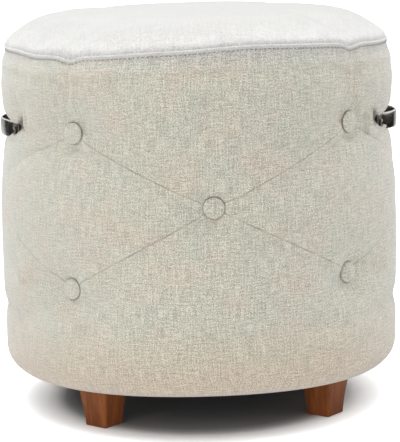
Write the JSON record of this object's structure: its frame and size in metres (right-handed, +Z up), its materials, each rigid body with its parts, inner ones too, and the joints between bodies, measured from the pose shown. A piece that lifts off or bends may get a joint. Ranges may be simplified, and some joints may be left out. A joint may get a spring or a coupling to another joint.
{
  "type": "tuffet",
  "caption": "Round upholstered tuffet with a button-tufted side, domed seat, tapered wooden legs and a bowed metal strap handle on each side.",
  "frame": {"origin": "on the floor under the middle of the drum", "axes": "+Z up out of the seat, -Y towards the front, +X through the handle on the right"},
  "size_m": [0.4624, 0.4558, 0.458],
  "materials": {
    "linen": "undyed linen-look weave, matt",
    "foam": "open-cell upholstery foam, matt",
    "board": "raw plywood",
    "pine": "raw sawn pine",
    "stained_wood": "mid-brown stain, satin lacquer",
    "nickel": "polished nickel plate",
    "zinc": "zinc plated",
    "twine": "waxed twine with a pressed stay",
    "black_cloth": "thin non-woven cloth"
  },
  "bodies": {
    "root": {"base_board": "board", "drum_skin": "board", "dust_cover": "black_cloth", "frame_post_back_left": "pine", "frame_post_back_right": "pine", "frame_post_front_left": "pine", "frame_post_front_right": "pine", "frame_post_handle_left_back": "pine", "frame_post_handle_left_front": "pine", "frame_post_handle_right_back": "pine", "frame_post_handle_right_front": "pine", "handle_left": "nickel", "handle_right": "nickel", "hanger_bolt_back_left": "zinc", "hanger_bolt_back_right": "zinc", "hanger_bolt_front_left": "zinc", "hanger_bolt_front_right": "zinc", "leg_back_left": "stained_wood", "leg_back_right": "stained_wood", "leg_front_left": "stained_wood", "leg_front_right": "stained_wood", "screw_handle_left_back": "nickel", "screw_handle_left_front": "nickel", "screw_handle_right_back": "nickel", "screw_handle_right_front": "nickel", "seam_welt": "linen", "seat_board": "board", "seat_foam": "foam", "side_cover": "linen", "side_foam": "foam", "tee_nut_back_left": "zinc", "tee_nut_back_right": "zinc", "tee_nut_front_left": "zinc", "tee_nut_front_right": "zinc", "top_cover": "linen", "tuft_button_lower_back_left": "linen", "tuft_button_lower_back_right": "linen", "tuft_button_lower_front_left": "linen", "tuft_button_lower_front_right": "linen", "tuft_button_middle_back": "linen", "tuft_button_middle_front": "linen", "tuft_button_upper_back_left": "linen", "tuft_button_upper_back_right": "linen", "tuft_button_upper_front_left": "linen", "tuft_button_upper_front_right": "linen", "tuft_tie_lower_back_left": "twine", "tuft_tie_lower_back_right": "twine", "tuft_tie_lower_front_left": "twine", "tuft_tie_lower_front_right": "twine", "tuft_tie_middle_back": "twine", "tuft_tie_middle_front": "twine", "tuft_tie_upper_back_left": "twine", "tuft_tie_upper_back_right": "twine", "tuft_tie_upper_front_left": "twine", "tuft_tie_upper_front_right": "twine"}
  },
  "joints": []
}
